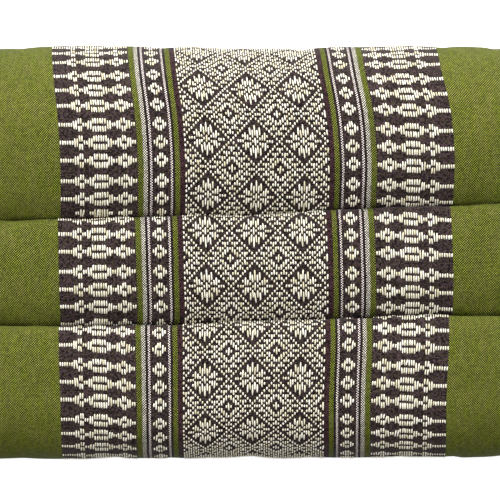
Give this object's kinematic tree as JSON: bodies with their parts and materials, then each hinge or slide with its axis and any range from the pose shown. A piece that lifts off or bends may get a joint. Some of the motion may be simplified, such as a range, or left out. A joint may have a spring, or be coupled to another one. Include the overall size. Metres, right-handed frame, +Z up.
{
  "type": "neck pillow",
  "caption": "Brick-shaped filled neck pillow: a cloth sleeve with a woven band of small motifs, sewn into rows of rolls, with a plain panel closing each end.",
  "frame": {"origin": "on the resting surface, under the middle of the pillow's box", "axes": "+X along the rolls, the pillow's longest side; +Y across the three rows, towards the widest row; +Z up out of the patterned face"},
  "size_m": [0.35, 0.15, 0.1],
  "materials": {
    "sleeve_cloth": "matt woven cotton, green with a dark band under pale pattern threads",
    "panel_cloth": "matt plain woven cotton, green",
    "pattern_thread": "soft cream cotton thread"
  },
  "bodies": {
    "root": {"pillow_body": "sleeve_cloth", "end_panel_left": "panel_cloth", "end_panel_right": "panel_cloth"}
  },
  "joints": []
}
